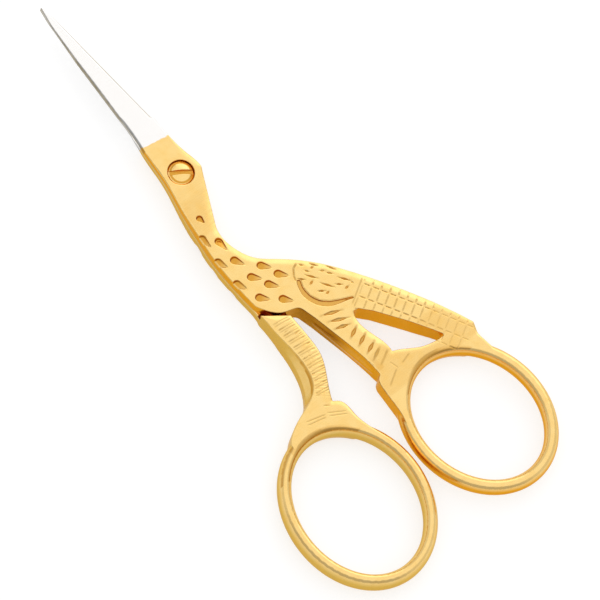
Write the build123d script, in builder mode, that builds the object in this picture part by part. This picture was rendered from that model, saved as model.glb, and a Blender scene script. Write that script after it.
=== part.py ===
from build123d import *
import math
import os

os.makedirs("parts", exist_ok=True)

# Stork embroidery scissors, closed and lying on their back face. Millimetres, +Z up.
# Reaches are measured from the pivot's axis: +Y to the blades' tips, +X to the tail.

# Driving sizes of the whole pair
blade_reach = 28.9        # to the tips of the blades
handle_reach = 61.0       # to the lowest point of the left finger ring
left_reach = 21.15        # to the outer side of the left finger ring
right_reach = 19.17       # to the outer side of the right finger ring
body_thickness = 3.8      # body, legs and foot plates
lap_gap = 0.04            # between the two layers, where the halves slide on each other

# Finger rings, one of them a little larger, both a flattened wire
ring_wire_width = 1.9
left_wire_height = 3.25
right_wire_height = 2.7
left_ring_lean = 10.1     # degrees, top towards the tail
right_ring_lean = -6.2
right_ring_rise = 0.47    # its lowest point above that of the left ring
# Their radii, each a share of the reach to their side or of the handles' reach
left_ring_across_share = 0.4251
left_ring_along_share = 0.181
right_ring_across_share = 0.4585
right_ring_along_share = 0.1716

# The bird's body, from the pivot to where the rings begin, as a share of the handles' reach
body_length_share = 0.6257

# Blades and the round-shouldered boss that the screw goes through
boss_width = 5.33
boss_thickness = 2.45
blade_thickness = 2.05    # both blades together
tip_thickness = 0.9
bevel_width = 0.45        # ground edge, seen from the front
edge_land = 0.12          # what the grinding leaves of the edge's height

# Screw
head_radius = 1.68
head_height = 0.78
head_dome = 0.12
head_gap = 0.11           # all round, in the counterbore
seat_gap = 0.02           # under the head
slot_width = 0.6
slot_depth = 0.4
slot_turn = -32.7         # degrees
shank_radius = 1.05
shank_gap = 0.04          # all round, in the front half
thread_gap = 0.02         # all round, in the back half

# Front leg's ridge and the clearances where the halves lie beside each other
ridge_width = 0.3
lap_side_gap = 0.12

# Engraved ornament, the same on the front and the back
drop_radius = 0.55        # head of a teardrop
drop_reach = 1.7          # from its centre to its tip
drop_depth = 0.42         # at the head, with a floor that rises to the tip
small_drop_radius = 0.4
small_drop_reach = 0.95
wing_depth = 0.28
stroke_depth = 0.16       # feathers, stripes and toes
feather_width = 0.3
stripe_width = 0.5
toe_width = 0.34
hairline_width = 0.14
hairline_depth = 0.1
grid_pitch = 1.2          # along the tail
grid_edge_row = 0.95      # outer row of the tail's cells
grid_middle_row = 1.9
rung_pitch = 1.0          # down the back leg
rung_length = 2.35
rung_gap = 0.36           # between the two hairlines of a rung

# What follows from the sizes above
pivot_x = (left_reach - right_reach) / 2
pivot_y = (handle_reach - blade_reach) / 2
mid_height = body_thickness / 2
body_length = body_length_share * handle_reach

# The plan view has its origin on the pivot's axis, at the height of the back face
plan = Plane((pivot_x, pivot_y, 0))
middle = plan.offset(mid_height)
side_view = Plane((pivot_x, pivot_y, mid_height), x_dir=(0, 1, 0), z_dir=(1, 0, 0))


def ring_oval(across, along, lean):
    """Radii of a ring's leaning centreline, and its wire's reach to the side and to the foot."""
    cosine, sine = math.cos(math.radians(lean)), math.sin(math.radians(lean))
    side_reach = math.hypot(across * cosine, along * sine) + ring_wire_width / 2
    foot_reach = math.hypot(across * sine, along * cosine) + ring_wire_width / 2
    return across, along, side_reach, foot_reach


left_across, left_along, left_side, left_foot = ring_oval(
    left_ring_across_share * left_reach, left_ring_along_share * handle_reach, left_ring_lean
)
right_across, right_along, right_side, right_foot = ring_oval(
    right_ring_across_share * right_reach, right_ring_along_share * handle_reach, right_ring_lean
)
# Each ring's centre, two radii and lean
left_oval = ((left_side - left_reach, left_foot - handle_reach), left_across, left_along, left_ring_lean)
right_oval = (
    (right_reach - right_side, right_foot + right_ring_rise - handle_reach),
    right_across, right_along, right_ring_lean,
)


def blade_spots(shares):
    """Points of the blades and boss, from shares of the boss's width and the blades' reach."""
    return [(across * boss_width, along * blade_reach) for across, along in shares]


def body_spots(shares):
    """Points of the bird, from shares of the reach to their side and of the body's length."""
    return [
        (across * (right_reach if across > 0 else left_reach), along * body_length)
        for across, along in shares
    ]


# Outline of the blade and boss, from the tip down each side
blade_right_shares = [(0.084, 1.0), (0.188, 0.91), (0.413, 0.287)]
boss_right_shares = [(0.413, 0.287), (0.397, 0.173), (0.445, 0.083), (0.525, 0.0), (0.531, -0.028)]
blade_left_shares = [(0.084, 1.0), (-0.028, 0.903), (-0.15, 0.696), (-0.3, 0.28)]
boss_left_shares = [(-0.3, 0.28), (-0.394, 0.121), (-0.469, 0.0), (-0.638, -0.142)]

# Nape, back and tail of the bird, from the boss to the tail's corner and the right ring
nape_shares = [(-0.0543, -0.215), (-0.0829, -0.27), (-0.0629, -0.335), (-0.0143, -0.388)]
back_shares = [
    (0.1146, -0.445), (0.3081, -0.534), (0.469, -0.639), (0.6205, -0.757), (0.7719, -0.891),
]
tail_end_shares = [(0.9023, -1.019), (0.8708, -1.061), (0.8865, -1.126)]

# Throat and breast, down to the top of the front leg
throat_shares = [(-0.1935, -0.212), (-0.2202, -0.32), (-0.224, -0.424), (-0.2135, -0.532)]
breast_shares = [
    (-0.1706, -0.571), (-0.1087, -0.603), (-0.0381, -0.616), (-0.0143, -0.621), (0.0105, -0.637),
]

# Left side of the front leg, with the foot's lug, down to the right ring
front_leg_shares = [(0.0368, -0.686), (0.081, -0.791), (0.1304, -0.948), (0.1336, -0.975)]
front_foot_shares = [
    (0.1336, -0.975), (0.0883, -1.001), (0.0831, -1.017), (0.0726, -1.092), (0.0526, -1.16),
]

# Gap between the front leg and the tail
window_left_shares = [(0.2839, -0.745), (0.2587, -0.778), (0.2629, -0.817), (0.3081, -0.935)]
window_foot_shares = [
    (0.3081, -0.935), (0.3491, -0.943), (0.4848, -0.98), (0.5847, -0.993), (0.6783, -0.996),
]
window_tail_shares = [
    (0.6783, -0.996), (0.6362, -0.961), (0.5269, -0.88), (0.3912, -0.786), (0.3186, -0.747),
]

# Wall in the front half that the back half's lower layer closes against
lap_wall_shares = [(-0.0143, -0.388), (-0.0429, -0.445), (-0.0477, -0.524), (-0.0572, -0.618)]
lap_corner_shares = [
    (-0.0572, -0.7), (-0.4766, -0.7), (-0.4766, 1.0), (0.3155, 1.0), (0.3155, -0.24),
]

# Left leg of the bird: its shoulder, right side, foot plate and left side
shoulder_shares = [(-0.2269, -0.568), (-0.0734, -0.629)]
back_leg_right_shares = [
    (-0.0753, -0.634), (-0.0772, -0.739), (-0.0896, -0.796), (-0.1792, -0.896), (-0.2316, -0.954),
]
back_foot_shares = [
    (-0.2316, -0.954), (-0.1809, -0.979), (-0.1696, -1.009), (-0.1694, -1.043), (-0.1599, -1.077),
    (-0.1429, -1.113), (-0.114, -1.169), (-0.0922, -1.213), (-0.0822, -1.243),
]
back_plate_shares = [(-0.6291, -0.993), (-0.5386, -0.951), (-0.4156, -0.922), (-0.3355, -0.904)]
back_leg_left_shares = [
    (-0.3355, -0.904), (-0.2602, -0.87), (-0.2173, -0.791), (-0.2192, -0.7), (-0.225, -0.603),
]
# The same side from the middle height down, where the ankle is fuller
ankle_shares = [
    (-0.3527, -0.897), (-0.2974, -0.85), (-0.2535, -0.778), (-0.2326, -0.7), (-0.225, -0.603),
]

# Half of the thickness from the tips to the boss, in shares of the blades' reach and thickness
blade_crown_shares = [(0.9, 0.256), (0.69, 0.488), (0.28, 0.5)]
# Then from the boss to the throat, and where it thins down to the rings, of the body's length and height
throat_crown_shares = [(-0.105, 0.74), (-0.21, 0.945), (-0.315, 1.0)]
foot_crown_shares = (-0.89, -1.05)


# Teardrops, each from the centre of its head to a place that its tip points to
small_drop_shares = [(-0.1145, -0.172, -0.1097, -0.195)]
drop_shares = [
    (-0.1926, -0.236, -0.185, -0.265), (-0.1211, -0.279, -0.1164, -0.313),
    (-0.2126, -0.334, -0.1907, -0.363), (-0.1221, -0.363, -0.0849, -0.4),
    (-0.2107, -0.434, -0.1793, -0.471), (-0.1087, -0.444, -0.0516, -0.476),
    (-0.0115, -0.431, 0.0452, -0.463), (0.042, -0.489, 0.0998, -0.52),
    (-0.0535, -0.499, -0.0039, -0.531), (-0.1554, -0.518, -0.1059, -0.547),
    (-0.0449, -0.57, 0.0083, -0.602),
]

# Wing: its hairline front edge, and the crescent that closes it below
wing_edge_shares = [(0.1848, -0.496), (0.1499, -0.503), (0.1149, -0.527), (0.1022, -0.545)]
crescent_in_shares = [
    (0.1316, -0.551), (0.1123, -0.576), (0.113, -0.613), (0.1442, -0.647), (0.1958, -0.67),
    (0.2641, -0.687), (0.3441, -0.704),
]
crescent_out_shares = [
    (0.1097, -0.543), (0.0856, -0.571), (0.0746, -0.598), (0.0846, -0.629), (0.1151, -0.659),
    (0.1717, -0.684), (0.2476, -0.697), (0.3431, -0.711),
]

# Feathers of the wing, each a deep stroke or a light one that meets its foot
feather_shares = [
    (0.2622, -0.522, 0.2948, -0.545), (0.3433, -0.561, 0.3783, -0.593),
    (0.1795, -0.544, 0.2389, -0.583), (0.1213, -0.541, 0.1619, -0.56),
    (0.2263, -0.598, 0.2879, -0.642), (0.3497, -0.618, 0.4095, -0.657),
    (0.303, -0.633, 0.345, -0.65), (0.173, -0.617, 0.2224, -0.633),
    (0.1944, -0.501, 0.2202, -0.517), (0.2714, -0.537, 0.2384, -0.541),
    (0.2748, -0.562, 0.3187, -0.576), (0.2053, -0.576, 0.1551, -0.585),
    (0.3792, -0.664, 0.3282, -0.668), (0.2435, -0.639, 0.2031, -0.644),
    (0.1962, -0.529, 0.2225, -0.548), (0.3038, -0.579, 0.3456, -0.602),
    (0.4036, -0.655, 0.4086, -0.671),
]

# Tail: the edge that its rows follow, the border at the ring, and the area that the cells fill
tail_edge_shares = [(0.5057, -0.6765), (0.9023, -1.015)]
tail_border_shares = [(0.6415, -0.964), (0.8318, -1.053)]
tail_area_shares = [
    (0.2839, -0.74), (0.5574, -0.663), (0.9307, -1.004), (0.835, -1.053), (0.6383, -0.96),
    (0.4417, -0.85),
]

# Stripes of the front thigh and leg, and the toes on the two foot plates
stripe_shares = [
    (0.0687, -0.692, 0.2292, -0.721), (0.0815, -0.724, 0.2295, -0.756),
    (0.0841, -0.757, 0.2034, -0.776), (0.2268, -0.794, 0.1298, -0.817),
    (0.2432, -0.832, 0.1359, -0.856), (0.252, -0.872, 0.1481, -0.894),
    (0.2539, -0.9, 0.1545, -0.925), (0.2836, -0.925, 0.1795, -0.952),
]
front_toe_shares = [
    (0.2457, -0.995, 0.1372, -1.028), (0.3874, -0.977, 0.3093, -0.989),
    (0.2434, -0.965, 0.2606, -0.992),
]
back_toe_shares = [
    (-0.2986, -0.949, -0.2696, -0.959), (-0.4537, -0.96, -0.3321, -0.976),
    (-0.3087, -0.977, -0.2106, -1.008),
]

# Middle of the back leg, which the rungs cross
rung_path_shares = [
    (-0.1525, -0.638), (-0.1497, -0.725), (-0.1554, -0.788), (-0.1811, -0.85), (-0.2574, -0.925),
]


def ring_angle(spot, centre, across, along, lean):
    """Degrees along a ring's leaning centreline to where a place of the plan lies beside it."""
    offset = Vector(spot[0] - centre[0], spot[1] - centre[1]).rotate(Axis.Z, lean)
    return math.degrees(math.atan2(offset.Y / along, offset.X / across))


def ring_curve(oval, start, sweep_angle):
    """Stretch of a ring's leaning centreline."""
    centre, across, along, lean = oval
    return EllipticalCenterArc(centre, across, along, start, arc_size=sweep_angle, rotation=-lean)


def plate_side(oval, right_spot, left_spot):
    """Stretch of a ring's centreline that closes a foot plate, from its right to its left end."""
    start = ring_angle(right_spot, *oval)
    arc = ring_curve(oval, start, ring_angle(left_spot, *oval) - start)
    Line(right_spot, arc @ 0)
    Line(arc @ 1, left_spot)


def upper_right_side():
    """Right side of the blade and boss, common to the two halves."""
    Polyline(blade_spots(blade_right_shares))
    boss = Spline(blade_spots(boss_right_shares))
    Line(boss @ 1, body_spots(nape_shares)[0])


def upper_left_side():
    """Left side of the blade, boss and throat, common to the two halves."""
    Polyline(blade_spots(blade_left_shares))
    return Spline(blade_spots(boss_left_shares) + body_spots(throat_shares))


def front_outline():
    """The whole front half, except its ring."""
    upper_right_side()
    Spline(body_spots(nape_shares + back_shares + tail_end_shares[:1]))
    Polyline(body_spots(tail_end_shares))
    plate_side(right_oval, body_spots(tail_end_shares)[-1], body_spots(front_foot_shares)[-1])
    Spline(body_spots(front_foot_shares))
    Spline(body_spots(front_leg_shares))
    Line(body_spots(breast_shares)[-1], body_spots(front_leg_shares)[0])
    Spline(body_spots(throat_shares[-1:] + breast_shares))
    upper_left_side()


def window_outline():
    """Gap between the front leg and the tail."""
    Spline(body_spots(window_left_shares))
    Spline(body_spots(window_foot_shares))
    Polyline(body_spots(window_tail_shares + window_left_shares[:1]))


def lap_outline():
    """What the front half leaves free below its upper layer."""
    wall = Spline(body_spots(lap_wall_shares))
    Polyline(wall @ 1, *body_spots(lap_corner_shares), wall @ 0)


def back_leg_outline(top_left, top_right, left_shares):
    """The left leg and its foot plate, from two given points at its top, with its left side."""
    Line(top_right, body_spots(back_leg_right_shares)[0])
    Spline(body_spots(back_leg_right_shares))
    Spline(body_spots(back_foot_shares))
    plate_side(left_oval, body_spots(back_foot_shares)[-1], body_spots(back_plate_shares)[0])
    Spline(body_spots(back_plate_shares[:-1] + left_shares[:1]))
    Spline(body_spots(left_shares))
    Line(body_spots(left_shares)[-1], top_left)


def back_outline():
    """The whole lower layer of the back half, except its ring."""
    upper_right_side()
    nape = Spline(body_spots(nape_shares[:-1]))
    wall = Spline([(x - lap_side_gap, y) for x, y in body_spots(lap_wall_shares)])
    Line(nape @ 1, wall @ 0)
    throat = upper_left_side()
    back_leg_outline(throat @ 1, wall @ 1, ankle_shares)


def crown_outline(wire_height):
    """Upper half of the side view, from the tips to the rings, above the middle height."""
    tip = (blade_reach, tip_thickness / 2)
    blade = [(along * blade_reach, up * blade_thickness) for along, up in blade_crown_shares]
    throat = [(along * body_length, up * mid_height) for along, up in throat_crown_shares]
    start, end = foot_crown_shares
    crown = Spline([tip] + blade + [(0, boss_thickness / 2)] + throat)
    foot = [(start * body_length, mid_height), (end * body_length, wire_height / 2)]
    ring_end = [(-handle_reach, wire_height / 2), (-handle_reach, 0)]
    Polyline(crown @ 1, *foot, *ring_end, (blade_reach, 0), tip)


def cross_plane(start, end):
    """Upright plane across a line of the plan, at its start, with local x to the line's left."""
    start_spot = Vector(*start)
    along = (Vector(*end) - start_spot).normalized()
    return Plane(middle.from_local_coords(start_spot), x_dir=Vector(0, 0, 1).cross(along), z_dir=along)


def bevel_outline(outward, upward):
    """What is ground off beside a cutting edge, from its inner line to the land at its foot."""
    Polyline(
        (-outward * bevel_width, upward * blade_thickness / 2), (0, upward * edge_land),
        (outward * bevel_width, upward * edge_land), (outward * bevel_width, upward * blade_thickness),
        (-outward * bevel_width, upward * blade_thickness), close=True,
    )


def crown_height(along):
    """Half of the thickness at a place behind the pivot."""
    marks = [(0, boss_thickness / 2)]
    marks += [(share * body_length, up * mid_height) for share, up in throat_crown_shares]
    for (start, low), (end, high) in zip(marks, marks[1:]):
        if along >= end:
            return low + (high - low) * (along - start) / (end - start)
    return mid_height


def drop_planes(shares, depth, side):
    """Sloping floors of teardrops, on the front face for side 1 and the back face for side -1."""
    planes = []
    for head_x, head_y, tip_x, tip_y in shares:
        (x, y), tip = body_spots([(head_x, head_y), (tip_x, tip_y)])
        along = Vector(tip[0] - x, tip[1] - y, 0).normalized()
        rise = Vector(0, 0, side * depth / drop_reach)
        floor = side * (crown_height(y) - depth)
        run = (along + rise).normalized()
        across = Vector(0, 0, side).cross(along)
        planes.append(Plane(middle.from_local_coords((x, y, floor)), x_dir=run, z_dir=run.cross(across)))
    return planes


def drop_outline(radius, reach):
    """A round head and two straight sides that meet in a tip."""
    half = math.degrees(math.acos(radius / reach))
    head = CenterArc((0, 0), radius, half, 360 - 2 * half)
    Polyline(head @ 1, (reach, 0), head @ 0)


def stroke(start, end, width):
    """A chisel stroke, pointed at both ends."""
    run = Vector(*end) - Vector(*start)
    side = Vector(-run.Y, run.X).normalized() * (width / 2)
    centre = Vector(*start) + run / 2
    Polygon(start, centre + side, end, centre - side, align=None)


def strokes(shares, width):
    """Chisel strokes at places of the body."""
    for start_x, start_y, end_x, end_y in shares:
        stroke(*body_spots([(start_x, start_y), (end_x, end_y)]), width)


def hairline(start, end):
    """An engraved line of even width."""
    run = Vector(*end) - Vector(*start)
    turn = math.degrees(math.atan2(run.Y, run.X))
    with Locations(Vector(*start) + run / 2):
        Rectangle(run.length, hairline_width, rotation=turn)


def tail_grid():
    """Rows and cross lines of the tail's cells."""
    start, end = (Vector(*spot) for spot in body_spots(tail_edge_shares))
    along = (end - start).normalized()
    inward = Vector(along.Y, -along.X)
    reach = (end - start).length
    depth = grid_edge_row + 2 * grid_middle_row
    for offset in (grid_edge_row, grid_edge_row + grid_middle_row):
        hairline(start + inward * offset, end + inward * offset)
    for line in range(int(reach / grid_pitch) + 1):
        corner = start + along * (line * grid_pitch)
        hairline(corner - inward * grid_edge_row, corner + inward * depth)


def rungs():
    """Pairs of hairlines across the back leg."""
    path = Edge.make_spline([Vector(*spot) for spot in body_spots(rung_path_shares)])
    for rung in range(int(path.length / rung_pitch) + 1):
        for place in (rung * rung_pitch, rung * rung_pitch + rung_gap):
            share = place / path.length
            if share <= 1:
                centre = path @ share
                across = Vector(0, 0, 1).cross(path % share) * (rung_length / 2)
                hairline(centre - across, centre + across)


front_face = plan.offset(body_thickness)

with BuildPart() as front_half:
    with BuildSketch(middle.offset(lap_gap / 2)):
        with BuildLine():
            front_outline()
        make_face()
        with BuildLine():
            window_outline()
        make_face(mode=Mode.SUBTRACT)
    extrude(amount=mid_height - lap_gap / 2)
    with BuildSketch(plan):
        with BuildLine():
            front_outline()
        make_face()
        with BuildLine():
            window_outline()
        make_face(mode=Mode.SUBTRACT)
        with BuildLine():
            lap_outline()
        make_face(mode=Mode.SUBTRACT)
    extrude(amount=mid_height + lap_gap / 2)
    # The side view thins the blade, the boss and the foot plate
    with BuildSketch(side_view):
        with BuildLine():
            crown_outline(right_wire_height)
        make_face()
        mirror(about=Plane.XZ)
    extrude(amount=left_reach + right_reach, both=True, mode=Mode.INTERSECT)
    # Ridge along the front leg, half way up its left wall
    leg_top, leg_foot = body_spots(front_leg_shares[:3:2])
    with BuildSketch(cross_plane(leg_foot, leg_top)):
        with BuildLine():
            Polyline(
                (-ridge_width, mid_height), (ridge_width / 2, 0), (-ridge_width, -mid_height), close=True
            )
        make_face()
    extrude(amount=(Vector(*leg_top) - Vector(*leg_foot)).length)
    # Finger ring
    with BuildLine(middle) as right_ring:
        ring_curve(right_oval, 0, 180)
        ring_curve(right_oval, 180, 180)
    along = right_ring.line % 0
    with BuildSketch(Plane(right_ring.line @ 0, x_dir=along.cross(Vector(0, 0, 1)), z_dir=along)):
        Ellipse(ring_wire_width / 2, right_wire_height / 2)
    sweep(path=right_ring.line)
    # Ground bevel along the cutting edge, on the front
    with BuildSketch(cross_plane(*blade_spots(blade_right_shares[:0:-1]))):
        with BuildLine():
            bevel_outline(-1, 1)
        make_face()
    extrude(amount=blade_reach, mode=Mode.SUBTRACT)
    # Hole and counterbore for the screw
    with Locations(middle.offset(boss_thickness / 2)):
        CounterBoreHole(shank_radius + shank_gap, head_radius + head_gap, head_height)
    # Ornament
    for side in (1, -1):
        with BuildSketch(*drop_planes(drop_shares, drop_depth, side)):
            with BuildLine():
                drop_outline(drop_radius, drop_reach)
            make_face()
        extrude(amount=2 * drop_depth, mode=Mode.SUBTRACT)
    with BuildSketch(*drop_planes(small_drop_shares, drop_depth, 1)):
        with BuildLine():
            drop_outline(small_drop_radius, small_drop_reach)
        make_face()
    extrude(amount=2 * drop_depth, mode=Mode.SUBTRACT)
    for face, inward in ((front_face, -1), (plan, 1)):
        with BuildSketch(face):
            with BuildLine():
                inner = Spline(body_spots(crescent_in_shares))
                outer = Spline(body_spots(crescent_out_shares))
                Line(inner @ 0, outer @ 0)
                Line(inner @ 1, outer @ 1)
            make_face()
        extrude(amount=inward * wing_depth, mode=Mode.SUBTRACT)
        with BuildSketch(face):
            strokes(feather_shares, feather_width)
            strokes(stripe_shares, stripe_width)
            strokes(front_toe_shares, toe_width)
        extrude(amount=inward * stroke_depth, mode=Mode.SUBTRACT)
        with BuildSketch(face):
            tail_grid()
            with BuildLine():
                Polyline(body_spots(tail_area_shares), close=True)
            make_face(mode=Mode.INTERSECT)
            hairline(*body_spots(tail_border_shares))
            for start, end in zip(wing_edge_shares, wing_edge_shares[1:]):
                hairline(*body_spots([start, end]))
        extrude(amount=inward * hairline_depth, mode=Mode.SUBTRACT)

with BuildPart() as back_half:
    with BuildSketch(plan):
        with BuildLine():
            back_outline()
        make_face()
    extrude(amount=mid_height - lap_gap / 2)
    # The leg is as thick as the body, and its left wall slopes in above the middle
    with BuildSketch(plan):
        with BuildLine():
            shoulder = Line(body_spots(shoulder_shares))
            back_leg_outline(shoulder @ 0, shoulder @ 1, ankle_shares)
        make_face()
    extrude(amount=mid_height)
    for height, left_shares in ((mid_height, ankle_shares), (body_thickness, back_leg_left_shares)):
        with BuildSketch(plan.offset(height)):
            with BuildLine():
                shoulder = Line(body_spots(shoulder_shares))
                back_leg_outline(shoulder @ 0, shoulder @ 1, left_shares)
            make_face()
    loft(ruled=True)
    # The side view thins the blade, the boss and the foot plate
    with BuildSketch(side_view):
        with BuildLine():
            crown_outline(left_wire_height)
        make_face()
        mirror(about=Plane.XZ)
    extrude(amount=left_reach + right_reach, both=True, mode=Mode.INTERSECT)
    # Finger ring
    with BuildLine(middle) as left_ring:
        ring_curve(left_oval, 0, 180)
        ring_curve(left_oval, 180, 180)
    along = left_ring.line % 0
    with BuildSketch(Plane(left_ring.line @ 0, x_dir=along.cross(Vector(0, 0, 1)), z_dir=along)):
        Ellipse(ring_wire_width / 2, left_wire_height / 2)
    sweep(path=left_ring.line)
    # Ground bevel along the cutting edge, on the back
    with BuildSketch(cross_plane(*blade_spots(blade_left_shares[:0:-2]))):
        with BuildLine():
            bevel_outline(1, -1)
        make_face()
    extrude(amount=blade_reach, mode=Mode.SUBTRACT)
    # Threaded hole for the screw
    with Locations(middle):
        Hole(shank_radius + thread_gap)
    with BuildSketch(*drop_planes(drop_shares, drop_depth, -1)):
        with BuildLine():
            drop_outline(drop_radius, drop_reach)
        make_face()
    extrude(amount=2 * drop_depth, mode=Mode.SUBTRACT)
    with BuildSketch(*drop_planes(small_drop_shares, drop_depth, -1)):
        with BuildLine():
            drop_outline(small_drop_radius, small_drop_reach)
        make_face()
    extrude(amount=2 * drop_depth, mode=Mode.SUBTRACT)
    for face, inward in ((front_face, -1), (plan, 1)):
        with BuildSketch(face):
            strokes(back_toe_shares, toe_width)
        extrude(amount=inward * stroke_depth, mode=Mode.SUBTRACT)
        with BuildSketch(face):
            rungs()
        extrude(amount=inward * hairline_depth, mode=Mode.SUBTRACT)

with BuildPart() as pivot_screw:
    with BuildSketch(Plane((pivot_x, pivot_y, mid_height), x_dir=(1, 0, 0), z_dir=(0, -1, 0))):
        with BuildLine():
            seat = boss_thickness / 2 - head_height + seat_gap
            rim = boss_thickness / 2
            Polyline((0, rim + head_dome), (0, -rim), (shank_radius, -rim), (shank_radius, seat),
                     (head_radius, seat), (head_radius, rim))
            crown = rim + head_dome
            ThreePointArc((head_radius, rim), (head_radius / 2, rim + head_dome * 3 / 4), (0, crown))
        make_face()
    revolve(axis=Axis((pivot_x, pivot_y, 0), (0, 0, 1)))
    with BuildSketch(middle.offset(boss_thickness / 2 + head_dome)):
        Rectangle(2 * head_radius + slot_width, slot_width, rotation=slot_turn)
    extrude(amount=-slot_depth, mode=Mode.SUBTRACT)

for piece, label in ((front_half, "front_half"), (back_half, "back_half"), (pivot_screw, "pivot_screw")):
    print(label, round(piece.part.volume, 2), len(piece.part.solids()), piece.part.is_valid)
    piece.part.label = label
    export_step(piece.part, f"parts/{label}.step")
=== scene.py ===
import math

import bmesh
import bpy
import numpy as np
from mathutils import Matrix, Vector
from mathutils.kdtree import KDTree


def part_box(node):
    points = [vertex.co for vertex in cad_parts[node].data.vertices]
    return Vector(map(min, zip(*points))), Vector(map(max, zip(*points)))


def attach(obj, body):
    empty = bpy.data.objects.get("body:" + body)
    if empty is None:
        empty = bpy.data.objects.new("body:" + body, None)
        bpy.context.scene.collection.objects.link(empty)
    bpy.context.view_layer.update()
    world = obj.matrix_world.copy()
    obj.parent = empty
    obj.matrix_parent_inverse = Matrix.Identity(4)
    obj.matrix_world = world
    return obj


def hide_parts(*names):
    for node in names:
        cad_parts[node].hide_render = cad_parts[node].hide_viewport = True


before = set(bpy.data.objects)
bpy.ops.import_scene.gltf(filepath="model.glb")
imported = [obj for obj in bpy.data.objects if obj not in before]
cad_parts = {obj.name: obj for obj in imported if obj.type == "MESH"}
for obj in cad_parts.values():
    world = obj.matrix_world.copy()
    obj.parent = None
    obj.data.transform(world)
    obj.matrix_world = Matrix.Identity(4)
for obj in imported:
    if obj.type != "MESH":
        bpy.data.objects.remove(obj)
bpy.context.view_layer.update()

# The front half: one steel forging with the front blade, the bird, its right leg and the right
# finger ring. It's filed and buffed until its faces fall away softly to the outline, and the
# plumage is chased into both faces with fine punches; the cuts carry painted shade.
MILLIMETRE = 0.001
front_low, front_high = (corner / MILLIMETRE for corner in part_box("front_half"))
back_low, back_high = (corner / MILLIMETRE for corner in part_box("back_half"))
screw_low, screw_high = (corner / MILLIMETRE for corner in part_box("pivot_screw"))
pivot = (screw_low + screw_high) / 2
left_reach = pivot.x - back_low.x
right_reach = front_high.x - pivot.x
handle_reach = pivot.y - back_low.y
body_length = 0.6257 * handle_reach
mid_height = front_high.z / 2
grain = 0.07
file_marks = 0.1          # worn off every face
edge_radius = 0.26        # of the edges along the outline
brazed_radius = 0.28      # where a ring runs into its foot plate
belly_radius = 0.5        # of the lower edges and the end of the ground bevel
pillow_width = 1.3        # the faces' fall towards the outline
pillow_share = 0.12       # of the height above the middle
cut_depth = 0.09
hairline_width = 0.26
face_tilt = 0.4           # a point is on a wall when its normal's height is less
# Painted shade in hollows and clefts: the depth where it starts and the depth over which it grows to
# full
hollow_start, hollow_depth = 0.03, 0.35
cleft_start, cleft_depth = 0.7, 0.5
ornament_depth = 0.6      # no ornament is sunk deeper
screw_hole = 2.0          # radius round the pivot that is left alone

# From the pivot, up to where a blade is ground flat and down to where a leg turns into its ring
blade_start = 5.0
leg_end = -41.5
fade_length = 3.0
plate_foot = -41.0
crown_foot = -24.0        # below it the faces are level
crown_step = 0.25
crown_sweep = 27          # steps over which the rise is evened
bevel_end = (-1.7, 8.1)
bevel_width = 0.45
bevel_fade = 5.0
neck_side = (-2.1, 3.5)   # the outline's place beside the boss, and its station
belly_stations = (-7.0, -26.0)
tip_length = 3.0

wing_edge = [(0.1848, -0.496), (0.1499, -0.503), (0.1149, -0.527), (0.1022, -0.545)]
wing_inner = [
    (0.1316, -0.551), (0.1123, -0.576), (0.113, -0.613), (0.1442, -0.647), (0.1958, -0.67),
    (0.2641, -0.687), (0.3441, -0.704),
]
wing_outer = [
    (0.1097, -0.543), (0.0856, -0.571), (0.0746, -0.598), (0.0846, -0.629), (0.1151, -0.659),
    (0.1717, -0.684), (0.2476, -0.697),
]
feathers = [
    (0.2622, -0.522, 0.2948, -0.545), (0.3433, -0.561, 0.3783, -0.593),
    (0.1795, -0.544, 0.2389, -0.583), (0.1213, -0.541, 0.1619, -0.56),
    (0.2263, -0.598, 0.2879, -0.642), (0.3497, -0.618, 0.4095, -0.657),
    (0.303, -0.633, 0.345, -0.65), (0.173, -0.617, 0.2224, -0.633),
]
faint_feathers = [
    (0.1944, -0.501, 0.2202, -0.517), (0.2714, -0.537, 0.2384, -0.541),
    (0.2748, -0.562, 0.3187, -0.576), (0.2053, -0.576, 0.1551, -0.585),
    (0.3792, -0.664, 0.3282, -0.668), (0.2435, -0.639, 0.2031, -0.644),
    (0.1962, -0.529, 0.2225, -0.548), (0.3038, -0.579, 0.3456, -0.602),
]
thigh_stripes = [
    (0.0687, -0.692, 0.2292, -0.721), (0.0815, -0.724, 0.2295, -0.756),
    (0.0841, -0.757, 0.2034, -0.776),
    (0.2268, -0.794, 0.1298, -0.817), (0.2432, -0.832, 0.1359, -0.856), (0.252, -0.872, 0.1481, -0.894),
    (0.2539, -0.9, 0.1545, -0.925), (0.2836, -0.925, 0.1795, -0.952),
]
front_toes = [
    (0.2457, -0.995, 0.1372, -1.028), (0.3874, -0.977, 0.3093, -0.989),
    (0.2434, -0.965, 0.2606, -0.992),
]
tail_start = (0.5057, -0.6765)
tail_end = (0.9023, -1.015)
tail_rows = (0.95, 2.85, 4.6)
tail_cell = 1.2
# Painted shade and reflection in the corner between the legs, on the front half
front_shaded_corner = (-23.0, -32.0, -1, 0.5)   # from, to, the side that it faces and how dark


def body_spot(across, along):
    """A place of the bird in plan, from shares of the reach to its side and of the body's length."""
    side_reach = right_reach if across > 0 else left_reach
    return np.array((pivot.x + across * side_reach, pivot.y + along * body_length))


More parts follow.
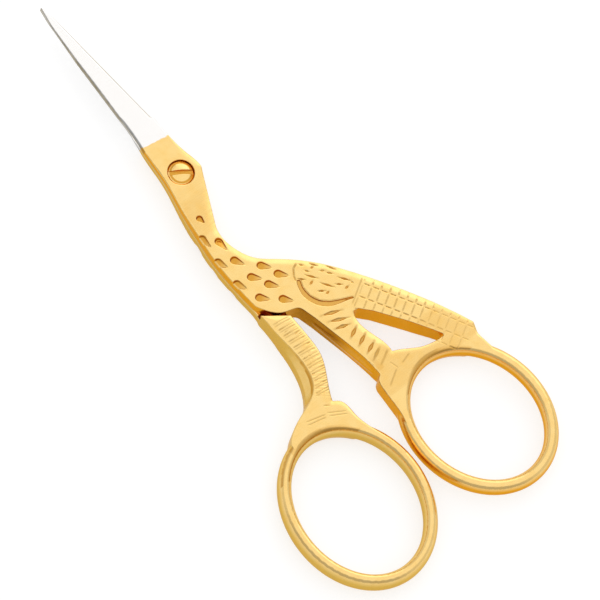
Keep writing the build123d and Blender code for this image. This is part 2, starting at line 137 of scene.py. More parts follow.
def closed_skin(node_name, size):
    """Net, points and edges of a CAD node as small even squares, in millimetres."""
    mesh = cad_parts[node_name].data.copy()
    mesh.transform(Matrix.Scale(1 / MILLIMETRE, 4))
    shape = bmesh.new()
    shape.from_mesh(mesh)
    bmesh.ops.remove_doubles(shape, verts=shape.verts, dist=0.001)
    shape.to_mesh(mesh)
    shape.free()
    solid = bpy.data.objects.new(node_name + "_solid", mesh)
    bpy.context.scene.collection.objects.link(solid)
    remesh = solid.modifiers.new("even_net", "REMESH")
    remesh.mode = "VOXEL"
    remesh.voxel_size = size
    drawn = solid.evaluated_get(bpy.context.evaluated_depsgraph_get())
    net = bpy.data.meshes.new_from_object(drawn)
    bpy.data.objects.remove(solid)
    points = np.empty(len(net.vertices) * 3, np.float64)
    net.vertices.foreach_get("co", points)
    edges = np.empty(len(net.edges) * 2, np.int64)
    net.edges.foreach_get("vertices", edges)
    return net, points.reshape(-1, 3), edges.reshape(-1, 2)


def neighbour_mean(values, edges):
    """Mean over the points that each point is joined to."""
    count = len(values)
    ends = np.concatenate((edges[:, 0], edges[:, 1]))
    others = np.concatenate((edges[:, 1], edges[:, 0]))
    total = [np.bincount(ends, column[others], count) for column in values.T]
    return np.stack(total, axis=1) / np.bincount(ends, minlength=count)[:, None]


def spread_softly(values, edges, rounds):
    """A value of the points, blurred along the net."""
    values = values.astype(np.float64)[:, None]
    for _ in range(rounds):
        values = (values + neighbour_mean(values, edges)) / 2
    return values[:, 0]


def buffed(points, edges, strength, rounds):
    """The points after a buffing wheel has worn them where strength is high."""
    for _ in range(rounds):
        points = points + (neighbour_mean(points, edges) - points) * strength[:, None]
    return points


def net_normals(net, points):
    """Normals of the net with its points at these places."""
    net.vertices.foreach_set("co", points.ravel())
    net.update()
    normals = np.empty(len(points) * 3, np.float64)
    net.vertices.foreach_get("normal", normals)
    return normals.reshape(-1, 3)


def outline_distance(points, above, walls, reach):
    """How far each point lies in plan from the nearest wall of its own face, up to a reach."""
    distance = np.full(len(points), reach)
    for own in (above > 0, above <= 0):
        tree = KDTree(int((walls & own).sum()))
        for number, (x, y) in enumerate(points[walls & own, :2]):
            tree.insert((x, y, 0), number)
        tree.balance()
        distance[own] = [min(tree.find((x, y, 0))[2], reach) for x, y in points[own, :2]]
    return distance


def sunk_depth(points, outward):
    """How far each point lies below the highest one near it, looking at one face."""
    cell = 0.3
    places = ((points[:, :2] - points[:, :2].min(axis=0)) / cell).astype(int) + 3
    tops = np.full(places.max(axis=0) + 4, -99.0)
    np.maximum.at(tops, (places[:, 0], places[:, 1]), outward * points[:, 2])
    for axis in (0, 1):
        tops = np.max([np.roll(tops, step, axis) for step in (-2, -1, 0, 1, 2)], axis=0)
    return tops[places[:, 0], places[:, 1]] - outward * points[:, 2]


def cut_amount(points, cuts):
    """From 0 beside the engraved cuts to 1 at their bottoms."""
    amount = np.zeros(len(points))
    for start, end, width, strength in cuts:
        run = end - start
        low = np.minimum(start, end) - width
        high = np.maximum(start, end) + width
        near = np.flatnonzero(((points[:, :2] > low) & (points[:, :2] < high)).all(axis=1))
        offset = points[near, :2] - start
        along = np.clip(offset @ run / (run @ run), 0, 1)
        aside = np.linalg.norm(offset - along[:, None] * run, axis=1)
        rise = np.clip(2 * aside / width, 0, 1)
        taper = np.sqrt(np.clip(np.minimum(along, 1 - along) * 8 + 0.3, 0, 1))
        depth = strength * taper * (0.5 + 0.5 * np.cos(math.pi * rise))
        amount[near] = np.maximum(amount[near], depth)
    return amount


def chain(shares, width, strength):
    """Cuts from each place to the next."""
    spots = [body_spot(*share) for share in shares]
    return [(start, end, width, strength) for start, end in zip(spots, spots[1:])]


def strokes(table, width, strength):
    """Cuts from rows of start and end shares."""
    return [(body_spot(*row[:2]), body_spot(*row[2:]), width, strength) for row in table]


def tail_cuts():
    """Cells of the tail: dashes in rows, with a fine line across between two dashes."""
    start, end = body_spot(*tail_start), body_spot(*tail_end)
    along = (end - start) / np.linalg.norm(end - start)
    inward = np.array((along[1], -along[0]))
    cuts = []
    for line in range(int(np.linalg.norm(end - start) / tail_cell) + 1):
        corner = start + along * line * tail_cell
        for row, next_row in zip((0.1,) + tail_rows, tail_rows):
            foot = corner + inward * (next_row - 0.25)
            cuts.append((corner + inward * (row + 0.25), foot, hairline_width, 0.4))
        for row in tail_rows:
            dash = corner + inward * row + along * 0.12 * tail_cell
            cuts.append((dash, dash + along * 0.66 * tail_cell, hairline_width, 0.85))
    border = start - along * 0.4
    cuts.append((border + inward * 0.4, border + inward * 4.2, hairline_width, 0.7))
    return cuts


def evened_crown(normals, along, above):
    """Scale of the height that draws the faces' rise from the screw to the body as one sweep."""
    marks = np.arange(crown_foot, blade_start, crown_step)
    faces = (np.abs(normals[:, 2]) > 0.98) & (np.abs(above) > 0.5 * mid_height)
    rows = np.digitize(along[faces], marks)
    heights = np.abs(above[faces])
    raw = np.array([np.median(heights[rows == row]) if (rows == row).any() else mid_height
                    for row in range(1, len(marks) + 1)])
    wide = np.hanning(crown_sweep) / np.hanning(crown_sweep).sum()
    even = np.convolve(np.pad(raw, crown_sweep // 2, mode="edge"), wide, mode="valid")
    scale = np.interp(along, marks + crown_step / 2, np.minimum(even / raw, 1.0))
    return np.where(along < crown_foot + 2, 1.0, scale)


def ground_run_out(points, along, above):
    """Lets the grinding behind the lower blade's edge fade out towards the boss."""
    start, end = bevel_end[1], bevel_end[1] - bevel_fade
    fade = np.clip((along - end) / (start - end), 0.001, 1)
    edge_x = pivot.x + np.interp(along, (neck_side[1], start), (neck_side[0], bevel_end[0] + 0.1))
    inward = (points[:, 0] - edge_x) / (bevel_width * fade)
    floor = -1.02 + 0.9 * fade * (1 - np.clip(inward, 0, 1))
    ground = (along > end) & (along < start + 0.3) & (inward < 1) & (above < 0)
    return np.where(ground, np.maximum(above, floor), above)


def painted_corner_shade(points, normals, along, shaded_corner):
    """How dark the plating is painted between the legs: painted shade and a painted reflection of the
    other leg.
    """
    upper, lower, facing, darkness = shaded_corner
    painted_darkness = np.clip((upper - along) / 1, 0, 1) * np.clip((along - lower) / 2.5, 0, 1)
    painted_darkness *= np.clip(facing * normals[:, 0] * 3, 0, 1) * (np.abs(normals[:, 2]) < 0.8)
    painted_darkness *= np.clip((pivot.x + 3.2 - points[:, 0]) * 2, 0, 1)
    return darkness * painted_darkness


def buffing_rounds(radius):
    """Rounds of half-strength buffing that round an edge to about this radius."""
    return max(1, int(2 * (radius / grain) ** 2))


def finished_half(node_name, piece_name, cuts, shaded_corner, box_low, box_high):
    """The node's skin after filing, buffing and chasing, as a smooth object in metres."""
    net, points, edges = closed_skin(node_name, grain)
    normals = net_normals(net, points)
    along = points[:, 1] - pivot.y
    above = points[:, 2] - mid_height
    from_pivot = np.linalg.norm(points[:, :2] - np.array(pivot.xy), axis=1)
    forged = np.clip((blade_start - along) / fade_length, 0, 1)
    forged *= np.clip((along - leg_end) / fade_length, 0, 1)
    walls = np.abs(normals[:, 2]) < face_tilt
    walls &= (np.abs(above) < 0.6 * mid_height) & (from_pivot > screw_hole)
    # Depth of the ornament, before anything is worn off it
    outward = np.sign(np.where(np.abs(normals[:, 2]) > face_tilt, normals[:, 2], above))
    sunk = np.where(outward > 0, sunk_depth(points, 1), sunk_depth(points, -1))
    distance = outline_distance(points, above, walls, pillow_width)
    inside = np.clip((distance - 0.1) / 0.15, 0, 1) * (forged > 0) * (from_pivot > screw_hole)
    chased = inside * (np.abs(above) > 0.55 * mid_height) * (sunk < ornament_depth)
    # Painted shade: the chased hollows are coloured darker the deeper they are sunk.
    hollow = np.clip((sunk - hollow_start) / hollow_depth, 0, 1) ** 0.7 * chased
    # Painted shade: the deepest clefts and the corner between the legs take a nearly black red.
    cleft = np.clip((sunk - cleft_start) / cleft_depth, 0, 1) * (forged > 0)
    cleft *= (np.abs(normals[:, 2]) > 0.6) * (from_pivot > screw_hole + 0.6)
    cleft = np.maximum(cleft, painted_corner_shade(points, normals, along, shaded_corner))
    # Cuts that would run off the outline of the back face stop short of it
    short = (above < 0) & (sunk > hollow_start) & (sunk < ornament_depth + 0.05) & (forged > 0)
    short &= (distance < pillow_width) & (np.abs(normals[:, 2]) > 0.2)
    points[:, 2] -= np.where(short, sunk * np.clip((pillow_width - distance) / 0.4, 0, 1), 0)
    if box_low is back_low:
        points[:, 2] = mid_height + ground_run_out(points, along, points[:, 2] - mid_height)
    lift = evened_crown(normals, along, above)
    points[:, 2] = mid_height + (points[:, 2] - mid_height) * lift
    near_wall = np.clip(4 * spread_softly(walls, edges, int(1.4 / grain)), 0, 1)
    # File marks of the net go first, then the edges along the outline are rounded
    tip = box_high.y - pivot.y
    worn = 1 - np.clip((along - tip + tip_length / 2) / 1.2, 0, 1)
    points = buffed(points, edges, 0.5 * worn, buffing_rounds(file_marks))
    # The rings keep their girth: each smoothing step is taken back by a slightly longer one
    rings = np.clip(1 - forged * 2, 0, 1) * (along < 0)
    for _ in range(10):
        points = buffed(points, edges, 0.5 * rings, 1)
        points = buffed(points, edges, -0.52 * rings, 1)
    near_wall *= worn * (0.2 + 0.8 * forged)
    points = buffed(points, edges, 0.5 * near_wall, buffing_rounds(edge_radius))
    # The ring is brazed smooth into its foot plate, and the blade's ground edge runs out softly
    blends = np.clip(2 - np.abs(along - plate_foot) / 1.8, 0, 1)
    points = buffed(points, edges, 0.5 * blends, buffing_rounds(brazed_radius))
    run_out = np.array((pivot.x + bevel_end[0] - 0.8, pivot.y + bevel_end[1]))
    soft = np.clip(3 - np.linalg.norm(points[:, :2] - run_out, axis=1), 0, 1)
    belly = np.clip((along - belly_stations[1]) / 2, 0, 1)
    belly *= np.clip((belly_stations[0] - along) / 2, 0, 1)
    belly *= (points[:, 0] < pivot.x + 0.35 * (along + 15)) & (distance < 1.1) & (above < -0.3)
    soft = np.maximum(soft * (along > 4), belly)
    points = buffed(points, edges, 0.5 * soft, buffing_rounds(belly_radius))
    fall = spread_softly((1 - distance / pillow_width) ** 2, edges, 4) * forged
    points[:, 2] = mid_height + (points[:, 2] - mid_height) * (1 - pillow_share * fall)
    # Chasing
    flat = (np.abs(normals[:, 2]) > 0.7) & (np.abs(above) > 0.35 * mid_height)
    cut = cut_amount(points, cuts) * flat
    points[:, 2] -= outward * cut_depth * cut
    # The blade's point comes back to its full reach
    near_tip = np.clip((along - tip + tip_length) / tip_length, 0, 1)
    points[:, 1] += (box_high.y - points[:, 1].max()) * near_tip
    points = np.clip(points, np.array(box_low), np.array(box_high))
    normals = net_normals(net, points)
    # Painted shade: the cuts, the steep sides of the chased hollows and the steep sides of the blade
    # above the middle are coloured darker.
    steep = np.clip((0.9 - np.abs(normals[:, 2])) * 4, 0, 1) * (sunk > 0.06) * chased
    shaded_bevel = np.clip((0.9 - np.abs(normals[:, 2])) * 6, 0, 1) * (along > blade_start) * (above > 0)
    crease = spread_softly(np.maximum(cut * 0.85, np.maximum(steep * 0.4, shaded_bevel * 0.8)), edges, 1)
    for name, values in (("hollow", hollow), ("crease", crease), ("cleft", cleft)):
        layer = net.attributes.new(name, "FLOAT", "POINT")
        layer.data.foreach_set("value", spread_softly(values, edges, 1).astype(np.float32))
    net.vertices.foreach_set("co", (points * MILLIMETRE).ravel())
    net.shade_smooth()
    net.name = piece_name
    net.update()
    piece = bpy.data.objects.new(piece_name, net)
    bpy.context.scene.collection.objects.link(piece)
    return piece


front_cuts = chain(wing_edge, 0.34, 0.7) + chain(wing_inner, 0.32, 1.0) + chain(wing_outer, 0.24, 0.6)
front_cuts += strokes(feathers, 0.34, 1.0) + strokes(faint_feathers, 0.3, 0.5)
front_cuts += strokes(thigh_stripes, 0.5, 0.6) + strokes(front_toes, 0.34, 0.6) + tail_cuts()
front_piece = finished_half(
    "front_half", "front_half_polished", front_cuts, front_shaded_corner, front_low, front_high)
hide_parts("front_half")
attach(front_piece, "front")


def rubbed_metal():
    """Group: what handling does to bright metal, as small changes of hue, gloss and level."""
    group = bpy.data.node_groups.new("rubbed_metal", "ShaderNodeTree")
    face = group.interface
    face.new_socket("Colour", in_out="INPUT", socket_type="NodeSocketColor")
    face.new_socket("Deep Colour", in_out="INPUT", socket_type="NodeSocketColor")
    face.new_socket("Roughness", in_out="INPUT", socket_type="NodeSocketFloat")
    face.new_socket("Grain Depth", in_out="INPUT", socket_type="NodeSocketFloat")
    face.new_socket("Colour", in_out="OUTPUT", socket_type="NodeSocketColor")
    face.new_socket("Roughness", in_out="OUTPUT", socket_type="NodeSocketFloat")
    face.new_socket("Normal", in_out="OUTPUT", socket_type="NodeSocketVector")
    nodes, links = group.nodes, group.links
    given = nodes.new("NodeGroupInput")
    result = nodes.new("NodeGroupOutput")
    place = nodes.new("ShaderNodeTexCoord")
    mottle = nodes.new("ShaderNodeTexNoise")
    mottle.inputs["Scale"].default_value = 700
    mottle.inputs["Detail"].default_value = 5
    mottle.inputs["Roughness"].default_value = 0.6
    links.new(place.outputs["Object"], mottle.inputs["Vector"])
    patch = nodes.new("ShaderNodeMapRange")
    patch.inputs["From Min"].default_value = 0.42
    patch.inputs["From Max"].default_value = 0.75
    patch.inputs["To Max"].default_value = 0.3
    links.new(mottle.outputs["Fac"], patch.inputs["Value"])
    tint = nodes.new("ShaderNodeMix")
    tint.data_type = "RGBA"
    links.new(patch.outputs["Result"], tint.inputs["Factor"])
    links.new(given.outputs["Colour"], tint.inputs["A"])
    links.new(given.outputs["Deep Colour"], tint.inputs["B"])
    links.new(tint.outputs["Result"], result.inputs["Colour"])
    streaks = nodes.new("ShaderNodeMapping")
    streaks.inputs["Scale"].default_value = (9000, 1600, 4000)
    streaks.inputs["Rotation"].default_value = (0, 0, 0.6)
    links.new(place.outputs["Object"], streaks.inputs["Vector"])
    scratches = nodes.new("ShaderNodeTexNoise")
    scratches.inputs["Scale"].default_value = 1
    scratches.inputs["Detail"].default_value = 3
    links.new(streaks.outputs["Vector"], scratches.inputs["Vector"])
    haze = nodes.new("ShaderNodeMath")
    haze.operation = "MULTIPLY_ADD"
    haze.inputs[1].default_value = 0.12
    links.new(scratches.outputs["Fac"], haze.inputs[0])
    links.new(given.outputs["Roughness"], haze.inputs[2])
    dulled = nodes.new("ShaderNodeMath")
    dulled.operation = "MULTIPLY_ADD"
    dulled.inputs[1].default_value = 0.25
    links.new(patch.outputs["Result"], dulled.inputs[0])
    links.new(haze.outputs["Value"], dulled.inputs[2])
    links.new(dulled.outputs["Value"], result.inputs["Roughness"])
    level = nodes.new("ShaderNodeMath")
    level.operation = "ADD"
    links.new(mottle.outputs["Fac"], level.inputs[0])
    links.new(scratches.outputs["Fac"], level.inputs[1])
    bump = nodes.new("ShaderNodeBump")
    bump.inputs["Strength"].default_value = 1
    links.new(level.outputs["Value"], bump.inputs["Height"])
    links.new(given.outputs["Grain Depth"], bump.inputs["Distance"])
    links.new(bump.outputs["Normal"], result.inputs["Normal"])
    return group


metal_wear = rubbed_metal()


def shaded_engraved_metal():
    """Group: colour of a metal with painted shade, deeper on walls, in hollows, in cuts and in the
    cleft.
    """
    group = bpy.data.node_groups.new("shaded_engraved_metal", "ShaderNodeTree")
    face = group.interface
    for name in ("Face Colour", "Wall Colour", "Hollow Colour", "Cut Colour", "Cleft Colour"):
        face.new_socket(name, in_out="INPUT", socket_type="NodeSocketColor")
    face.new_socket("Colour", in_out="OUTPUT", socket_type="NodeSocketColor")
    nodes, links = group.nodes, group.links
    given = nodes.new("NodeGroupInput")
    result = nodes.new("NodeGroupOutput")
    place = nodes.new("ShaderNodeTexCoord")
    facing = nodes.new("ShaderNodeSeparateXYZ")
    links.new(place.outputs["Normal"], facing.inputs["Vector"])
    upright = nodes.new("ShaderNodeMath")
    upright.operation = "ABSOLUTE"
    links.new(facing.outputs["Z"], upright.inputs[0])
    # Painted shade: the steeper a surface, the more it takes the wall colour instead of the face
    # colour.
    wall = nodes.new("ShaderNodeMapRange")
    wall.inputs["From Min"].default_value = 0.62
    wall.inputs["From Max"].default_value = 0.2
    links.new(upright.outputs["Value"], wall.inputs["Value"])
    colour = nodes.new("ShaderNodeMix")
    colour.data_type = "RGBA"
    links.new(given.outputs["Face Colour"], colour.inputs["A"])
    links.new(given.outputs["Wall Colour"], colour.inputs["B"])
    links.new(wall.outputs["Result"], colour.inputs["Factor"])
    # Painted shade from the hollow, crease and cleft attributes
    for name in ("Hollow", "Crease", "Cleft"):
        depth = nodes.new("ShaderNodeAttribute")
        depth.attribute_name = name.lower()
        deeper = nodes.new("ShaderNodeMix")
        deeper.data_type = "RGBA"
        links.new(depth.outputs["Fac"], deeper.inputs["Factor"])
        links.new(colour.outputs["Result"], deeper.inputs["A"])
        links.new(given.outputs[name.replace("Crease", "Cut") + " Colour"], deeper.inputs["B"])
        colour = deeper
    links.new(colour.outputs["Result"], result.inputs["Colour"])
    return group


painted_shade_colours = shaded_engraved_metal()
face_gold = (1.0, 0.7, 0.27)
# Painted shade: walls and steep slopes are coloured a deeper gold than the faces, in place of the
# darker reflections they show; the back half's walls are painted a lighter copy.
front_wall_shaded_gold = (0.87, 0.38, 0.01)
back_wall_shaded_gold = (0.77, 0.5, 0.11)
# Painted shade: darker golds in the hollows, in the cuts, and in the deep clefts and the corner between
# the legs.
hollow_shaded_gold = (0.72, 0.35, 0.05)
cut_shaded_gold = (0.4, 0.2, 0.03)
cleft_shadow_gold = (0.13, 0.014, 0.004)
deep_gold = (0.92, 0.5, 0.07)
blade_steel = (1.0, 0.98, 0.96)
dull_steel = (0.97, 0.94, 0.91)
# Painted shade on the bare steel's sides and hollows
shaded_side_steel = (0.27, 0.27, 0.26)
glancing_gold = (1.0, 0.85, 0.55)
plating_end = (pivot.y + 5.66) * MILLIMETRE
plating_slant = 0.14
plating_wave = 0.0014
plating_blur = (0.00055, 0.00068)
gold_roughness, steel_roughness = 0.1, 0.13
gold_grain_depth, steel_grain_depth = 0.000006, 0.0000025


def set_gold(node, shaded_wall_colour):
    """Writes the plating's colours, its painted shade colours among them, into a group node."""
    for name, value in (
        ("Face Colour", face_gold), ("Wall Colour", shaded_wall_colour), ("Hollow Colour", hollow_shaded_gold),
        ("Cut Colour", cut_shaded_gold), ("Cleft Colour", cleft_shadow_gold),
    ):
        node.inputs[name].default_value = (*value, 1)


def plated_blade_steel(name, shaded_wall_colour):
    """Gold plating that stops at a wavy line across the blade, above it bare ground steel."""
    material = bpy.data.materials.new(name)
    material.use_nodes = True
    nodes, links = material.node_tree.nodes, material.node_tree.links
    shader = nodes["Principled BSDF"]
    shader.inputs["Metallic"].default_value = 1
    shader.inputs["Specular Tint"].default_value = (*glancing_gold, 1)
    gold = nodes.new("ShaderNodeGroup")
    gold.node_tree = painted_shade_colours
    set_gold(gold, shaded_wall_colour)
    place = nodes.new("ShaderNodeTexCoord")
    split = nodes.new("ShaderNodeSeparateXYZ")
    links.new(place.outputs["Object"], split.inputs["Vector"])
    wave = nodes.new("ShaderNodeTexNoise")
    wave.inputs["Scale"].default_value = 420
    wave.inputs["Detail"].default_value = 2
    links.new(place.outputs["Object"], wave.inputs["Vector"])
    shifted = nodes.new("ShaderNodeMath")
    shifted.operation = "MULTIPLY_ADD"
    shifted.inputs[1].default_value = plating_wave
    links.new(wave.outputs["Fac"], shifted.inputs[0])
    slant = nodes.new("ShaderNodeMath")
    slant.operation = "MULTIPLY_ADD"
    slant.inputs[1].default_value = plating_slant
    links.new(split.outputs["X"], slant.inputs[0])
    links.new(split.outputs["Y"], slant.inputs[2])
    links.new(slant.outputs["Value"], shifted.inputs[2])
    bare = nodes.new("ShaderNodeMapRange")
    bare.inputs["From Min"].default_value = plating_end + plating_blur[0]
    bare.inputs["From Max"].default_value = plating_end + plating_blur[1]
    links.new(shifted.outputs["Value"], bare.inputs["Value"])
    ground = nodes.new("ShaderNodeMapping")
    ground.inputs["Scale"].default_value = (1200, 16000, 1200)
    ground.inputs["Rotation"].default_value = (0, 0, 0.25)
    links.new(place.outputs["Object"], ground.inputs["Vector"])
    lines = nodes.new("ShaderNodeTexNoise")
    lines.inputs["Scale"].default_value = 1
    links.new(ground.outputs["Vector"], lines.inputs["Vector"])
    blade = nodes.new("ShaderNodeMix")
    blade.data_type = "RGBA"
    blade.inputs["A"].default_value = (*dull_steel, 1)
    blade.inputs["B"].default_value = (*blade_steel, 1)
    bright = nodes.new("ShaderNodeMapRange")
    bright.inputs["From Min"].default_value = 0.2
    bright.inputs["From Max"].default_value = 0.6
    links.new(lines.outputs["Fac"], bright.inputs["Value"])
    links.new(bright.outputs["Result"], blade.inputs["Factor"])
    steel = nodes.new("ShaderNodeGroup")
    steel.node_tree = painted_shade_colours
    # Painted shade: the bare steel's walls, hollows, cuts and clefts all take a dark grey.
    for part in ("Wall Colour", "Hollow Colour", "Cut Colour", "Cleft Colour"):
        steel.inputs[part].default_value = (*shaded_side_steel, 1)
    links.new(blade.outputs["Result"], steel.inputs["Face Colour"])
    colour = nodes.new("ShaderNodeMix")
    colour.data_type = "RGBA"
    links.new(bare.outputs["Result"], colour.inputs["Factor"])
    links.new(gold.outputs["Colour"], colour.inputs["A"])
    links.new(steel.outputs["Colour"], colour.inputs["B"])
    deep = nodes.new("ShaderNodeMix")
    deep.data_type = "RGBA"
    deep.inputs["A"].default_value = (*deep_gold, 1)
    deep.inputs["B"].default_value = (*dull_steel, 1)
    links.new(bare.outputs["Result"], deep.inputs["Factor"])
    gloss = nodes.new("ShaderNodeMix")
    gloss.inputs["A"].default_value = gold_roughness
    gloss.inputs["B"].default_value = steel_roughness
    links.new(bare.outputs["Result"], gloss.inputs["Factor"])
    wear = nodes.new("ShaderNodeGroup")
    wear.node_tree = metal_wear
    depth = nodes.new("ShaderNodeMix")
    depth.inputs["A"].default_value = gold_grain_depth
    depth.inputs["B"].default_value = steel_grain_depth
    links.new(bare.outputs["Result"], depth.inputs["Factor"])
    links.new(depth.outputs["Result"], wear.inputs["Grain Depth"])
    links.new(colour.outputs["Result"], wear.inputs["Colour"])
    links.new(deep.outputs["Result"], wear.inputs["Deep Colour"])
    links.new(gloss.outputs["Result"], wear.inputs["Roughness"])
    links.new(wear.outputs["Colour"], shader.inputs["Base Color"])
    links.new(wear.outputs["Roughness"], shader.inputs["Roughness"])
    links.new(wear.outputs["Normal"], shader.inputs["Normal"])
    return material


front_piece.data.materials.clear()
front_piece.data.materials.append(plated_blade_steel("gold_plated_front", front_wall_shaded_gold))

# The back half: the second forging, with the blade and neck that lie underneath, the left leg
# and the larger finger ring. Fine double rungs are chased across its leg.
rung_path = [
    (-0.1525, -0.624), (-0.1497, -0.725), (-0.1554, -0.788), (-0.1811, -0.85), (-0.2574, -0.925),
]
rung_pitch = 1.0
rung_length = 2.3
rung_gap = 0.36
rung_slant = (0.99, -0.14)
# Painted shade and reflection in the corner between the legs, on the back half
back_shaded_corner = (-22.5, -38.0, 1, 0.5)
back_toes = [
    (-0.2986, -0.949, -0.2696, -0.959), (-0.4537, -0.96, -0.3321, -0.976),
    (-0.46, -0.972, -0.34, -0.985), (-0.3087, -0.977, -0.2106, -1.008), (-0.31, -0.99, -0.215, -1.018),
]


def rung_cuts():
    """Pairs of fine cuts across the leg."""
    spots = np.array([body_spot(*share) for share in rung_path])
    steps = np.concatenate(([0], np.cumsum(np.linalg.norm(np.diff(spots, axis=0), axis=1))))
    cuts = []
    for rung in range(int(steps[-1] / rung_pitch) + 1):
        for place in (rung * rung_pitch, rung * rung_pitch + rung_gap):
            here = np.array([np.interp(place, steps, spots[:, axis]) for axis in (0, 1)])
            across = np.array(rung_slant) * rung_length / 2
            cuts.append((here - across, here + across, hairline_width, 0.62))
    return cuts


back_cuts = rung_cuts() + strokes(back_toes, 0.34, 0.7)
back_piece = finished_half(
    "back_half", "back_half_polished", back_cuts, back_shaded_corner, back_low, back_high)
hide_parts("back_half")
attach(back_piece, "back")
back_piece.data.materials.clear()
back_piece.data.materials.append(plated_blade_steel("gold_plated_back", back_wall_shaded_gold))

# The pivot screw: turned from steel, with a slightly domed, slotted head, plated like the halves
# and scuffed by the screwdriver, with painted shade inside the slot and on its walls. It's screwed into
# the back half and the front half turns on it.
screw_grain = 0.03
head_height = 0.7
slot_reach = 1.5
slot_floor_levels = (0.6, 0.25)   # below the head's top
screw_roughness = 0.16
screw_grain_depth = 0.00002
rim_fall = 0.34           # how much the head is domed, besides the turned dome
net, points, edges = closed_skin("pivot_screw", screw_grain)
points = buffed(points, edges, np.full(len(points), 0.5), 8)
points = np.clip(points, np.array(screw_low), np.array(screw_high))
head_top = screw_high.z
from_axis = np.linalg.norm(points[:, :2] - np.array(pivot.xy), axis=1)
in_head = np.clip((points[:, 2] - (head_top - head_height)) / 0.5, 0, 1)
points[:, 2] -= rim_fall * in_head * (from_axis / (screw_high.x - pivot.x)) ** 2
below_top = head_top - points[:, 2]
slot_floor = (below_top > slot_floor_levels[1]) & (below_top < slot_floor_levels[0])
slot_floor &= from_axis < slot_reach
# Painted shade: the inside of the slot takes the hollow colour.
for name in ("hollow", "crease", "cleft"):
    layer = net.attributes.new(name, "FLOAT", "POINT")
    layer.data.foreach_set("value", slot_floor.astype(np.float32) * (name == "hollow"))
net.vertices.foreach_set("co", (points * MILLIMETRE).ravel())
net.shade_smooth()
net.name = "pivot_screw_polished"
net.update()
screw_piece = bpy.data.objects.new("pivot_screw_polished", net)
bpy.context.scene.collection.objects.link(screw_piece)
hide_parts("pivot_screw")
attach(screw_piece, "screw")


def plated_screw_steel():
    """The same plating on the screw, a little rougher."""
    material = bpy.data.materials.new("gold_plated_screw")
    material.use_nodes = True
    nodes, links = material.node_tree.nodes, material.node_tree.links
    shader = nodes["Principled BSDF"]
    shader.inputs["Metallic"].default_value = 1
    shader.inputs["Specular Tint"].default_value = (*glancing_gold, 1)
    gold = nodes.new("ShaderNodeGroup")
    gold.node_tree = painted_shade_colours
    set_gold(gold, front_wall_shaded_gold)
    wear = nodes.new("ShaderNodeGroup")
    wear.node_tree = metal_wear
    wear.inputs["Grain Depth"].default_value = screw_grain_depth
    wear.inputs["Roughness"].default_value = screw_roughness
    wear.inputs["Deep Colour"].default_value = (*deep_gold, 1)
    links.new(gold.outputs["Colour"], wear.inputs["Colour"])
    links.new(wear.outputs["Colour"], shader.inputs["Base Color"])
    links.new(wear.outputs["Roughness"], shader.inputs["Roughness"])
    links.new(wear.outputs["Normal"], shader.inputs["Normal"])
    return material


screw_piece.data.materials.clear()
screw_piece.data.materials.append(plated_screw_steel())

# The table: a white sheet that the scissors lie on. It keeps only a faint shadow for the eye,
# while the polished walls mirror it with its full shading.
table_half = 2.0
sheet = bmesh.new()
bmesh.ops.create_grid(sheet, x_segments=1, y_segments=1, size=table_half)
table_mesh = bpy.data.meshes.new("table")
sheet.to_mesh(table_mesh)
sheet.free()
table = bpy.data.objects.new("table", table_mesh)
table.location = (0, 0, -0.0001)
bpy.context.scene.collection.objects.link(table)
seen_base, mirrored_base = 0.42, 0.52
seen_glow, mirrored_glow = 0.68, 0.42


def white_sheet():
    """White paper, brighter for the camera than for its reflections."""
    material = bpy.data.materials.new("white_sheet")
    material.use_nodes = True
    nodes, links = material.node_tree.nodes, material.node_tree.links
    shader = nodes["Principled BSDF"]
    shader.inputs["Roughness"].default_value = 0.9
    shader.inputs["Specular IOR Level"].default_value = 0
    shader.inputs["Emission Color"].default_value = (1, 1, 1, 1)
    light_path = nodes.new("ShaderNodeLightPath")
    base = nodes.new("ShaderNodeMix")
    base.data_type = "RGBA"
    base.inputs["A"].default_value = (mirrored_base, mirrored_base, mirrored_base, 1)
    base.inputs["B"].default_value = (seen_base, seen_base, seen_base, 1)
    links.new(light_path.outputs["Is Camera Ray"], base.inputs["Factor"])
    links.new(base.outputs["Result"], shader.inputs["Base Color"])
    glow = nodes.new("ShaderNodeMix")
    glow.inputs["A"].default_value = mirrored_glow
    glow.inputs["B"].default_value = seen_glow
    links.new(light_path.outputs["Is Camera Ray"], glow.inputs["Factor"])
    links.new(glow.outputs["Result"], shader.inputs["Emission Strength"])
    return material


table.data.materials.append(white_sheet())

# The light: a large soft box overhead with a clear rim, dim walls round it, darkest to the left,
# and a second soft box low beyond the tail, which draws the bright line along the right-hand edges.
ceiling_light, wall_light, dark_light, side_light = 1.0, 0.74, 0.5, 1.4
ceiling_rim = (0.55, 0.76)         # heights at which the box's rim starts and ends
dark_side = (-0.83, -0.5, 0)       # directions
bright_side = (0.83, 0.5, 0.42)
bright_rim = (0.8, 0.92)           # cosines at which the second box starts and is full
world = bpy.data.worlds.new("studio")
world.use_nodes = True
bpy.context.scene.world = world
nodes, links = world.node_tree.nodes, world.node_tree.links
background = nodes["Background"]
background.inputs["Color"].default_value = (1, 1, 1, 1)
compass = nodes.new("ShaderNodeTexCoord")
split = nodes.new("ShaderNodeSeparateXYZ")
links.new(compass.outputs["Generated"], split.inputs["Vector"])
ceiling = nodes.new("ShaderNodeMapRange")
ceiling.interpolation_type = "SMOOTHSTEP"
ceiling.inputs["From Min"].default_value = ceiling_rim[0]
ceiling.inputs["From Max"].default_value = ceiling_rim[1]
ceiling.inputs["To Max"].default_value = ceiling_light
links.new(split.outputs["Z"], ceiling.inputs["Value"])
near_side = nodes.new("ShaderNodeVectorMath")
near_side.operation = "DOT_PRODUCT"
near_side.inputs[1].default_value = Vector(dark_side).normalized()
links.new(compass.outputs["Generated"], near_side.inputs[0])
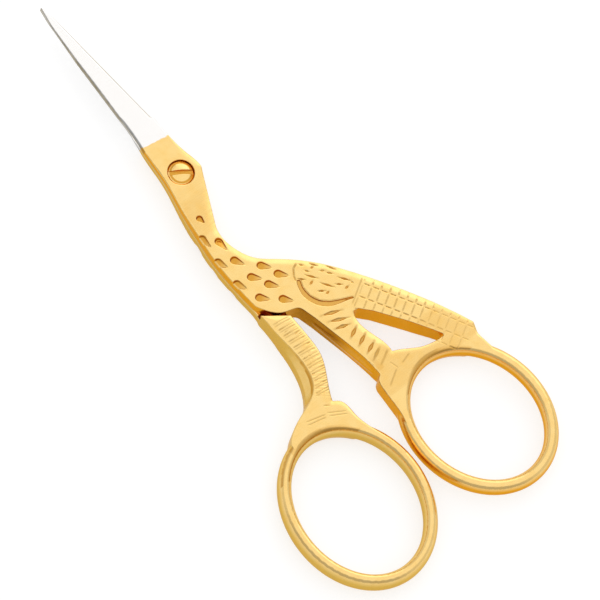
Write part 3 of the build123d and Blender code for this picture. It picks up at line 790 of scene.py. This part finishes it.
dim = nodes.new("ShaderNodeMapRange")
dim.inputs["From Min"].default_value = 0.1
dim.inputs["From Max"].default_value = 0.5
dim.inputs["To Min"].default_value = wall_light
dim.inputs["To Max"].default_value = dark_light
links.new(near_side.outputs["Value"], dim.inputs["Value"])
links.new(dim.outputs["Result"], ceiling.inputs["To Min"])
beyond = nodes.new("ShaderNodeVectorMath")
beyond.operation = "DOT_PRODUCT"
beyond.inputs[1].default_value = Vector(bright_side).normalized()
links.new(compass.outputs["Generated"], beyond.inputs[0])
side = nodes.new("ShaderNodeMapRange")
side.interpolation_type = "SMOOTHSTEP"
side.inputs["From Min"].default_value = bright_rim[0]
side.inputs["From Max"].default_value = bright_rim[1]
side.inputs["To Max"].default_value = side_light
links.new(beyond.outputs["Value"], side.inputs["Value"])
brighter = nodes.new("ShaderNodeMath")
brighter.operation = "MAXIMUM"
links.new(ceiling.outputs["Result"], brighter.inputs[0])
links.new(side.outputs["Result"], brighter.inputs[1])
light_path = nodes.new("ShaderNodeLightPath")
seen = nodes.new("ShaderNodeMix")
seen.inputs["B"].default_value = 1.0
links.new(brighter.outputs["Value"], seen.inputs["A"])
links.new(light_path.outputs["Is Camera Ray"], seen.inputs["Factor"])
links.new(seen.outputs["Result"], background.inputs["Strength"])

# The camera: a long lens, 24 degrees off the scissors' face, as in the photograph.
aim = Vector((0.001913, -0.00694, 0.003125))
right = Vector((0.754, -0.639, 0.153)).normalized()
toward = Vector((-0.355, -0.201, 0.913))
toward = (toward - right * toward.dot(right)).normalized()
up = toward.cross(right)
frame_width = 0.07757     # of what the picture shows, in metres
focal_length, sensor_width = 1200, 36
camera_data = bpy.data.cameras.new("camera")
camera_data.lens = focal_length
camera_data.sensor_width = sensor_width
distance = frame_width * focal_length / sensor_width
camera_data.clip_start = 0.1
camera_data.clip_end = 10
camera = bpy.data.objects.new("camera", camera_data)
camera.matrix_world = Matrix((
    (right.x, up.x, toward.x, aim.x + toward.x * distance),
    (right.y, up.y, toward.y, aim.y + toward.y * distance),
    (right.z, up.z, toward.z, aim.z + toward.z * distance),
    (0, 0, 0, 1),
))
bpy.context.scene.collection.objects.link(camera)
bpy.context.scene.camera = camera
bpy.context.scene.view_settings.view_transform = "Standard"
